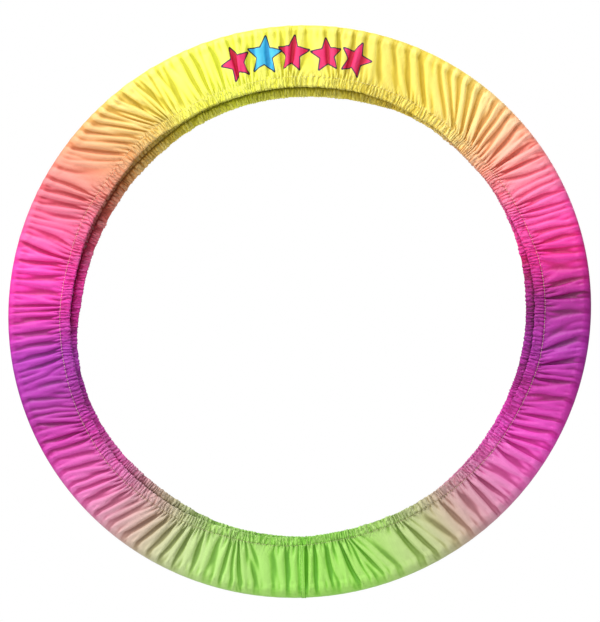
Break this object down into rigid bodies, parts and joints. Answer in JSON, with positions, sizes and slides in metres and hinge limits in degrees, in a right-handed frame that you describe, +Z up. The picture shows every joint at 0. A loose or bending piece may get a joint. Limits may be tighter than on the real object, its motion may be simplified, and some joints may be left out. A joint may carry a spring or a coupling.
{
  "type": "rhythmic gymnastics hoop in fabric cover",
  "caption": "Round plastic hoop inside a gathered fabric cover, open along its inner edge and held by two elastic hems.",
  "frame": {"origin": "centre of the hoop's ring, halfway between the cover's front and back faces", "axes": "+Y along the hoop's spin axis, out of the cover's back; -Y is the front; +Z up, towards the top of the hanging hoop, with the end seam at the bottom"},
  "size_m": [0.8408, 0.0224, 0.8411],
  "materials": {
    "hoop_plastic": "satin",
    "plug_plastic": "matte",
    "rivet_metal": "satin",
    "cover_cloth": "satin",
    "hem_cloth": "satin",
    "sewing_thread": "satin",
    "elastic_band": "matte"
  },
  "bodies": {
    "cover": {"cover_rim": "cover_cloth", "front_panel": "cover_cloth", "back_panel": "cover_cloth", "end_seam": "cover_cloth", "end_seam_stitching": "sewing_thread"},
    "hoop": {"hoop_tube": "hoop_plastic", "joint_plug": "plug_plastic", "joint_rivets": "rivet_metal"},
    "front_hem": {"front_hem": "hem_cloth", "front_hem_stitching": "sewing_thread", "front_elastic": "elastic_band", "front_elastic_lap": "elastic_band"},
    "back_hem": {"back_hem": "hem_cloth", "back_hem_stitching": "sewing_thread", "back_elastic": "elastic_band", "back_elastic_lap": "elastic_band"}
  },
  "joints": [
    {"name": "hoop_spin", "type": "hinge", "parent": "cover", "child": "hoop", "pos_m": [0, 0, 0], "axis": [0, 1, 0], "continuous": true},
    {"name": "front_hem_pull", "type": "slide", "parent": "cover", "child": "front_hem", "axis": [0, -1, 0], "range_m": [0, 0.03], "stiffness_N_per_m": 80, "deforming": ["front_panel"]},
    {"name": "back_hem_pull", "type": "slide", "parent": "cover", "child": "back_hem", "axis": [0, 1, 0], "range_m": [0, 0.03], "stiffness_N_per_m": 80, "deforming": ["back_panel"]}
  ]
}
